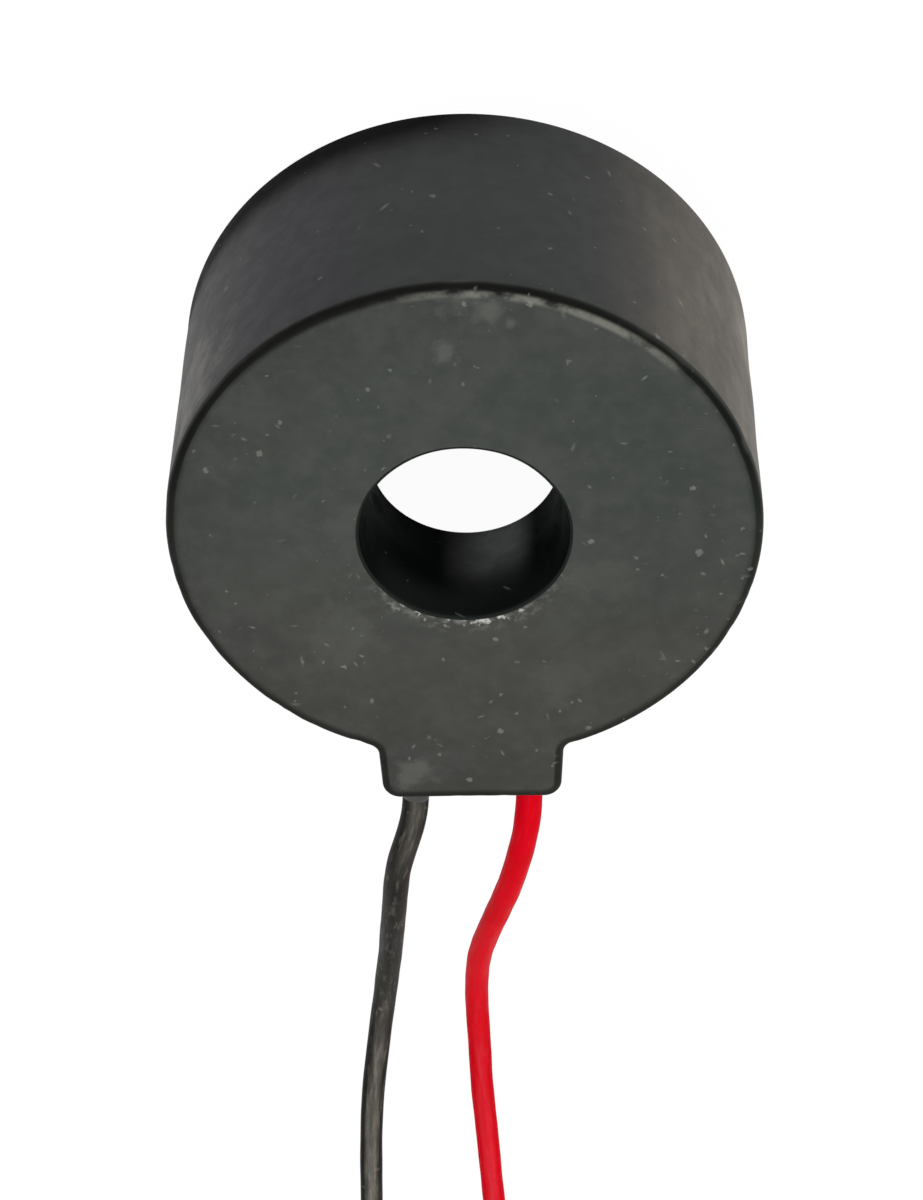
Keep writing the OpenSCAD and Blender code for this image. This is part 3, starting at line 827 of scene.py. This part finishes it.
# %% Colour of the face
def face_colour(place, x, y, far):
    """Greens in broad clouds, darker towards the edge and on the nose, finer pale mottling, worn
    patches, small marks from handling and the chalk by the bore."""
    top = 13.2
    cloudy = [(-5.4, -5.4, top, 3), (-5.2, 0.6, top, 2.2), (5.8, -2.6, top, 2.6), (4, -8, top, 2.4)]
    bare = [(0.1, 11.9, top, 1.5), (1.2, 11, top, 1.1), (-0.6, 9.2, top, 1), (-2.5, -13.3, top, 1.6),
            (2.1, 10.6, top, 0.6)]
    return coats(
        (46, 52, 49),
        ((54, 58, 54), use(mottling, place, Scale=230, Low=0.3, High=0.7)),
        ((55, 54, 49), between_mm(y, 4, -9, 0, 0.7)),
        ((40, 40, 37), between_mm(far, 8, 12.4), between_mm(x, 9, -3), 0.5),
        ((40, 40, 37), between_mm(y, -11, -14, 0, 0.4)),
        ((70, 73, 68), use(mottling, place, Scale=520, Low=0.42, High=0.66), 0.3),
        ((84, 85, 80), use(mottling, place, Scale=1500, Low=0.4, High=0.75), 0.16),
        ((92, 94, 88), worn_at(place, cloudy, 600), 0.22),
        ((150, 152, 146), use(scuffs, place, Scale=1900, Width=0.14, Length=0.5, Share=0.3),
         use(mottling, place, Scale=420, Low=0.5, High=0.6), 0.5),
        ((108, 110, 105), worn_at(place, bare), 0.36),
        ((142, 143, 137), use(mottling, place, Scale=1900, Low=0.47, High=0.66),
         between_mm(far, 5.5, 4.5), between_mm(y, -1.5, -4.2), 0.5),
        ((214, 214, 208), use(mottling, place, Scale=2300, Low=0.54, High=0.64),
         between_mm(far, 5.15, 4.6), between_mm(y, -3.2, -4.2), 0.8))


# %% Colour of the wall
def wall_colour(place, x, z):
    """Blue-black, neutral and warm grey from one side to the other, with painted shade that darkens
    the foot on the cool side, worn patches on the cool side, and pale streaks that run up the warm
    one and brighten along its far edge as a painted highlight. Also returns the mask of the painted
    shade at the foot."""
    drawn = add("Mapping", Vector=place, Scale=(520, 520, 170)).outputs["Vector"]
    streak = noise(drawn, 1, 6, 0.6)
    warm = blend(between(streak, 0.35, 0.72), (92, 86, 80), (113, 107, 97))
    broad = use(mottling, place, Scale=230, Low=0.3, High=0.6)
    worn = most(worn_at(place, [(-10.9, 6.2, 9.8, 3.4), (-12.1, 3.2, 9.2, 2.8)], 500),
                worn_at(place, [(-11.4, 5.2, 11.5, 2.2)]))
    from_highlight_belt = size_of(sums("SUBTRACT", z, 3 * MM))
    # Painted shade: darker towards the foot on the cool side, where the wall meets the table.
    foot = times(between_mm(z, 5.5, -1), between_mm(x, 9, -4))
    colour = coats(
        (60, 58, 57),
        ((48, 50, 50), between_mm(x, -12.4, -3)),
        ((47, 47, 53), between_mm(x, -12, -8), between_mm(x, -2, -7), 0.8),
        (warm, between_mm(x, 4.8, 11.8), between(broad, 0, 1, 0.65, 1)),
        ((128, 127, 121), worn, 0.5),
        # Painted highlight, broken by the streaks: paler along the far edge of the warm side, round a belt
        # 3 mm up.
        ((168, 164, 150), between_mm(x, 11.6, 12.5), between(streak, 0.45, 0.65),
         between_mm(from_highlight_belt, 3, 0.5), 0.65),
        # Painted shade at the foot.
        ((12, 11, 14), sums("MULTIPLY!", foot, 1.25)))
    return colour, foot


# %% Cup plastic
def cup_plastic():
    """Face and wall, a dark line of painted shade on the front edge, a painted highlight inside it
    that is partly wear, and pale nicks. The painted shade at the foot and the edge are dull."""
    material, place = finish_of("cup_plastic")
    x, y, z = parts(place)
    far = from_axis(x, y)
    wall, rim = mark(material, "wall"), mark(material, "rim")
    on_face = rest_of(wall)
    side, foot = wall_colour(place, x, z)
    # Painted shade: the dark line along the front edge, wider on the sides.
    wide_edge_shade = times(between(rim, 0.35, 0.95), between_mm(size_of(x), 11, 6))
    line = most(wide_edge_shade, between(rim, 0.8, 1))
    # Painted highlight, partly wear: a pale ring just inside the front edge, on the side away from the
    # nose.
    ring = times(between_mm(far, 11.75, 12), between_mm(far, 12.3, 12.1), on_face,
                 between_mm(y, 6, 10.5), between_mm(x, -4, 1))
    nicks = most(times(use(specks, place, Scale=1100, Size=0.22, Share=0.1), 0.3),
                 times(use(specks, place, Scale=2300, Size=0.26, Share=0.1), 0.25),
                 times(use(scuffs, place, Scale=900, Width=0.09, Length=0.4, Share=0.1), 0.35),
                 times(use(specks, place, Scale=760, Size=0.15, Share=0.4), on_face, 0.32))
    colour = coats(
        face_colour(place, x, y, far),
        (side, wall),
        # The dark line of painted shade on the front edge.
        ((18, 18, 16), line, between_mm(y, -1, 5, 0.5, 0.92)),
        # The painted highlight inside the edge, partly wear.
        ((136, 137, 128), ring, use(mottling, place, Scale=700, Low=0.38, High=0.6), 0.7),
        ((160, 160, 150), nicks))
    dull = most(times(foot, wall), times(rim, 0.75))
    fine = use(mottling, place, Scale=1100, Low=0.35, High=0.65)
    grain = sums("ADD", noise(place, 3200, 5, 0.6), times(nicks, -1.5))
    return surface(material, grain, 0.007 * MM, Base_Color=colour, Roughness=between(fine, 0, 1, 0.54, 0.6),
                   Specular_IOR_Level=between(dull, 0.25, 0.8, 0.2, 0.02))


# %% Plastic of the bore
def bore_plastic():
    """Painted nearly black and dull, as painted shade. The front lip and the lower wall near the mouth
    are painted a little lighter, as painted light, and a pale stripe of painted reflection grows
    towards the far end. There are fine rubbing marks, laid mostly in that stripe, and a paler far edge."""
    material, place = finish_of("bore_plastic", Specular_IOR_Level=0.008)
    x, y, z = parts(place)
    cloud = use(mottling, place, Scale=700, Low=0.4, High=0.7)
    # Painted reflection: a pale stripe along the bore's lower wall, right of the middle.
    painted_reflection_stripe = times(between_mm(x, -1.4, 1.2), between_mm(x, 3.1, 1.9), between_mm(y, -1.8, -3.2))
    inwards = between(z, cup_h - 0.2 * MM, tube_end + 0.6 * MM)
    colour = coats(
        # Painted shade: the bore's plastic painted nearly black.
        (7, 12, 11),
        ((14, 18, 17), cloud),
        # Painted light on the lower wall near the mouth.
        ((34, 39, 37), between(z, cup_h - 2.4 * MM, cup_h - 0.8 * MM), between_mm(y, -1.5, -3.6), 0.8),
        # The painted reflection, stronger towards the far end.
        ((190, 196, 192), painted_reflection_stripe, inwards, between(inwards, 0, 1, 0.2, 1), between(cloud, 0, 1, 0.75, 1)),
        # Rubbing marks, laid mostly in the painted reflection.
        ((190, 192, 188), use(scuffs, place, Scale=1100, Width=0.08, Length=0.5, Share=0.3),
         between(painted_reflection_stripe, 0, 1, 0.25, 0.8)),
        ((104, 106, 102), between(z, tube_end + 0.16 * MM, tube_end + 0.02 * MM), 0.6),
        # Painted light on the front lip.
        ((40, 44, 41), between(z, cup_h - 0.1 * MM, cup_h - 0.02 * MM), 0.8))
    return surface(material, noise(place, 1500, 4), 0.015 * MM, Base_Color=colour,
                   Roughness=between(cloud, 0, 1, 0.55, 0.75))


# %% [markdown]
# ## Finishes of the leads
# The insulation is soft PVC. The black one is dull and scuffed from handling, with fine lines drawn
# along it, and a paler band along its top that is partly scuffing and partly a painted highlight.
# The red one is clean and bright, with a fainter band. Lines worked out from the place in space
# would run straight on where a lead bends, so both follow the tube's own UV map, which bends too.
# One function makes both, because they differ only in their colours, their wear and their
# painted highlight.

# %% Insulation
def insulation(name, base, deep, pale, wear, rub_and_sheen, start, shine):
    """Soft blotches, fine lines along the lead, small specks, and a paler band along the top that is
    partly scuffing and partly a painted highlight. wear is how strongly the small marks show. The
    band's own strength is given apart; it has the share start beside the nose, fades where the lead
    slopes and comes back where it lies on the table, as the painted highlight does."""
    material, place = finish_of(name, Specular_IOR_Level=shine)
    uv = add("UVMap", {"uv_map": "surface"}, material.node_tree).outputs["UV"]
    streak = noise(add("Mapping", Vector=uv, Scale=(14, 60, 1)).outputs["Vector"], 1, 5, 0.65)
    marks = times(most(use(scuffs, place, Scale=900, Width=0.06, Length=0.3, Share=0.08),
                       use(specks, place, Scale=2500, Size=0.3, Share=0.15)), wear)
    around, along, _ = parts(uv)
    from_top = size_of(sums("SUBTRACT", around, 0.26))
    # Painted highlight along the lead: strong beside the nose, gone where the lead slopes, back where it
    # lies flat.
    sheen_and_rub_along = most(between(along, 0.06, 0.02, 0, start), between(along, 0.12, 0.27))
    colour = coats(
        base,
        (deep, use(mottling, place, Scale=450, Low=0.4, High=0.65)),
        (pale, between(streak, 0.5, 0.75), wear),
        (pale, marks),
        # The pale band on top: partly scuffing, partly a painted highlight.
        (pale, between(from_top, 0.15, 0.02), between(streak, 0.3, 0.65, 0.4, 1), sheen_and_rub_along, rub_and_sheen))
    return surface(material, sums("ADD", streak, marks), 0.012 * MM, Base_Color=colour,
                   Roughness=between(streak, 0.3, 0.7, 0.34, 0.52))


# %% [markdown]
# ## Finishes of the resins
# The potting resin was poured in and cured glossy, with slow clouds of tone and a little dust. The
# bead crept out and cured in the open, so it is duller. A plain glossy black would pass for paint.
# Clouds in the colour and gloss, and faint waves in the skin, break up the highlights as on a real
# casting.

# %% Resins
def resin(name, dark, light, gloss):
    """Cast resin: slow clouds of tone, a little dust and a faintly wavy skin."""
    material, place = finish_of(name, Specular_IOR_Level=0.5)
    cloud = use(mottling, place, Scale=260, Low=0.35, High=0.7)
    dust = use(specks, place, Scale=1500, Size=0.25, Share=0.12)
    return surface(material, noise(place, 500, 3), 0.03 * MM,
                   Base_Color=coats(dark, (light, cloud), ((120, 120, 114), dust, 0.5)),
                   Roughness=between(cloud, 0, 1, gloss, gloss + 0.15))


# %% [markdown]
# ## Finishes of what lies inside
# Nobody sees the core, box, winding and solder once the cup is potted, but a cut-away view shows
# them, so each has its true look: the strip's edges as fine rings, wires as fine ridges that run
# with the turns, film tape, frosted solder and tinned strands. Rings and wires this fine would
# make a very heavy mesh. A sine of the distance from the axis, or of the angle round it, draws
# them as a height instead.

# %% Rings and ridges round the axis
def ridges(value, pace):
    """Rounded ridges: the sine of value times pace, without its sign."""
    return size_of(sums("SINE", times(value, pace)))


def core_strip():
    """Rings, one for each turn of strip, 0.1 mm apart, some of them brighter."""
    material, place = finish_of("core_strip", Metallic=1)
    x, y, _ = parts(place)
    far = from_axis(x, y)
    tone = add("TexNoise", {"noise_dimensions": "1D"}, W=far, Scale=9000).outputs["Fac"]
    return surface(material, ridges(far, np.pi / (0.1 * MM)), 0.02 * MM,
                   Base_Color=blend(tone, (120, 118, 112), (190, 186, 176)),
                   Roughness=between(tone, 0.3, 0.7, 0.3, 0.5))


def enamelled_copper():
    """Ridges that run with the turns, four wires to each CAD turn, a slow change of tone, and
    painted shade in the grooves between the wires.
    """
    turns, wires = 72, 4
    material, place = finish_of("enamelled_copper", Metallic=1, Coat_Weight=0.6)
    x, y, _ = parts(place)
    ridge = ridges(sums("ARCTAN2", x, y), turns * wires / 2)
    tone = use(mottling, place, Scale=300, Low=0.35, High=0.65)
    # Painted shade: the grooves between the wires are darker.
    colour = coats((150, 70, 30), ((205, 112, 52), tone), ((50, 20, 10), between(ridge, 0, 0.5, 0.8, 0)))
    return surface(material, ridge, 0.05 * MM, Base_Color=colour, Roughness=between(tone, 0, 1, 0.22, 0.34))


# %% Metals, films and foam
def metal(name, dark, light, scale, gloss):
    """Tinned or soldered metal: frosted patches and fine pits."""
    material, place = finish_of(name, Metallic=1)
    frost = use(mottling, place, Scale=scale, Low=0.4, High=0.6)
    pit = use(specks, place, Scale=scale * 3, Size=0.3, Share=0.2)
    return surface(material, sums("SUBTRACT", frost, pit), 0.01 * MM, Base_Color=blend(frost, dark, light),
                   Roughness=between(frost, 0, 1, gloss, gloss + 0.2))


def film(name, dark, light, shine):
    """Plastic film and mouldings: a faint cloudiness, fine creases and a satin sheen."""
    material, place = finish_of(name, Specular_IOR_Level=0.5)
    cloud = use(mottling, place, Scale=350, Low=0.35, High=0.65)
    crease = use(scuffs, place, Scale=500, Width=0.05, Length=0.7, Share=0.4)
    return surface(material, sums("ADD", cloud, crease), 0.01 * MM,
                   Base_Color=coats(dark, (light, cloud), ((240, 238, 230), crease, 0.3)),
                   Roughness=between(cloud, 0, 1, shine, shine + 0.15))


def soft_ring():
    """Open foam: many small round cells, with painted shade in their hollows."""
    material, place = finish_of("soft_ring", Roughness=0.9, Specular_IOR_Level=0.2)
    cells = add("TexVoronoi", Vector=place, Scale=7000).outputs["Distance"]
    # Painted shade: each cell is darker towards its middle, where it is deepest.
    return surface(material, cells, 0.05 * MM, Base_Color=blend(cells, (170, 170, 165), (215, 215, 208)))


# %% [markdown]
# ## Hand out the finishes
# Each slot of the record gets one finish, made once with its own colours.

# %% Make every finish
finishes = {
    "cup_plastic": cup_plastic(),
    "bore_plastic": bore_plastic(),
    "black_insulation": insulation("black_insulation", (30, 28, 24), (20, 19, 16), (148, 144, 134),
                                   wear=0.4, rub_and_sheen=0.65, start=0.5, shine=0.015),
    "red_insulation": insulation("red_insulation", (224, 0, 24), (216, 0, 20), (236, 84, 96),
                                 wear=0.12, rub_and_sheen=0.35, start=0.1, shine=0.008),
    "potting_resin": resin("potting_resin", (20, 21, 22), (34, 35, 36), gloss=0.18),
    "resin_bead": resin("resin_bead", (24, 25, 23), (36, 37, 34), gloss=0.4),
    "core_strip": core_strip(),
    "enamelled_copper": enamelled_copper(),
    "tinned_copper": metal("tinned_copper", (170, 168, 162), (214, 212, 206), scale=2500, gloss=0.25),
    "solder": metal("solder", (150, 151, 153), (205, 206, 208), scale=1800, gloss=0.22),
    "winding_tape": film("winding_tape", (196, 160, 60), (222, 188, 88), shine=0.25),
    "box_plastic": film("box_plastic", (214, 206, 184), (232, 226, 206), shine=0.4),
    "tie_plastic": film("tie_plastic", (205, 205, 200), (228, 228, 224), shine=0.3),
    "soft_ring": soft_ring(),
}
print("finishes:", sorted(finishes))

# %% Give every piece its finish
slot_of = {part["node"]: part["material_slot"] for part in frame["record"]["subparts"]}
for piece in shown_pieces():
    slot = piece.get("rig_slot") or slot_of[piece.name]
    piece.data.materials.clear()
    piece.data.materials.append(finishes[slot])

# %% [markdown]
# The cup has two finishes. Two meshes, one for each, would leave a seam where they meet, so a face
# of its one mesh belongs to the bore when all of its corners carry the bore's mark.

# %% The bore's own finish
def read(items, field, kind):
    """One number from each item of a mesh, as an array."""
    values = np.zeros(len(items), kind)
    items.foreach_get(field, values)
    return values


cup.data.materials.append(finishes["bore_plastic"])
in_bore = read(cup.data.attributes["bore"].data, "value", np.float32)
corners = read(cup.data.loops, "vertex_index", np.int32)
first = read(cup.data.polygons, "loop_start", np.int32)
all_in = np.minimum.reduceat(in_bore[corners], first) > 0.5
cup.data.polygons.foreach_set("material_index", all_in.astype(np.int32))
print(all_in.sum(), "faces in the bore")

# %% [markdown]
# ## Studio
# A white table, a wide soft lamp overhead, a smaller one to the side that lights the worn flank,
# and an even grey world. For camera and mirror rays the table and the world are mostly white of
# their own, so that they look white without more light on the part, and the table still takes a
# faint shadow.

# %% Table
reach_out = 2.0
table_mesh = bpy.data.meshes.new("table")
table_mesh.from_pydata([(-reach_out, -reach_out, 0), (reach_out, -reach_out, 0),
                        (reach_out, reach_out, 0), (-reach_out, reach_out, 0)], [], [(0, 1, 2, 3)])
table = bpy.data.objects.new("table", table_mesh)
bpy.context.scene.collection.objects.link(table)
table.location.z = -0.02 * MM
print("table", 2 * reach_out, "m wide, just below the part")


def seen_directly(tree):
    """1 for rays from the camera, from mirrors and through glass, and 0 for light that is only
    passed on."""
    path = add("LightPath", tree=tree)
    return most(*(path.outputs[f"Is {kind} Ray"] for kind in ("Camera", "Glossy", "Transmission")))


def table_white():
    """Matt and pale for light that is passed on. Seen directly it is mostly white of its own, with
    a dim matt part that shows a shadow."""
    material = bpy.data.materials.new("table_white")
    material.use_nodes = True
    tree = material.node_tree
    tree.nodes.remove(tree.nodes["Principled BSDF"])
    matt = add("BsdfDiffuse", tree=tree, Color=(0.8, 0.8, 0.8, 1)).outputs[0]
    dim = add("BsdfDiffuse", tree=tree, Color=(0.08, 0.08, 0.08, 1)).outputs[0]
    glow = add("Emission", tree=tree, Color=(1, 1, 1, 1), Strength=0.96).outputs[0]
    both, pick = add("AddShader", tree=tree), add("MixShader", tree=tree)
    fed = (dim, glow, seen_directly(tree), matt, both.outputs[0])
    for socket, value in zip((*both.inputs, *pick.inputs), fed):
        feed(socket, value)
    feed(tree.nodes["Material Output"].inputs["Surface"], pick.outputs[0])
    return material


table_mesh.materials.append(table_white())


# %% World and lamps
world = bpy.data.worlds.new("studio")
bpy.context.scene.world = world
world.use_nodes = True
sky = world.node_tree
strength = between(seen_directly(sky), 0, 1, 0.32, 1)
fill(sky.nodes["Background"], {"Color": (1, 1, 1, 1), "Strength": strength})


def soft_lamp(name, place, aim, width, power, colour):
    """A square area lamp that faces the point it is aimed at."""
    lamp = bpy.data.lights.new(name, "AREA")
    lamp.shape = "SQUARE"
    lamp.size = width
    lamp.energy = power
    lamp.color = colour
    holder = bpy.data.objects.new(name, lamp)
    holder.location = place
    holder.rotation_euler = (Vector(aim) - Vector(place)).to_track_quat("-Z", "Y").to_euler()
    bpy.context.scene.collection.objects.link(holder)


soft_lamp("overhead", (-0.1, -0.15, 0.5), (0, 0, 0), 0.4, 1.6, (1.0, 1.0, 1.0))
soft_lamp("flank", (0.45, 0.2, 0.25), (0, 0, 0), 0.25, 1.0, (1.0, 0.97, 0.92))
print("lamps:", [lamp.name for lamp in bpy.data.lights])
bpy.context.scene.view_settings.view_transform = "Standard"
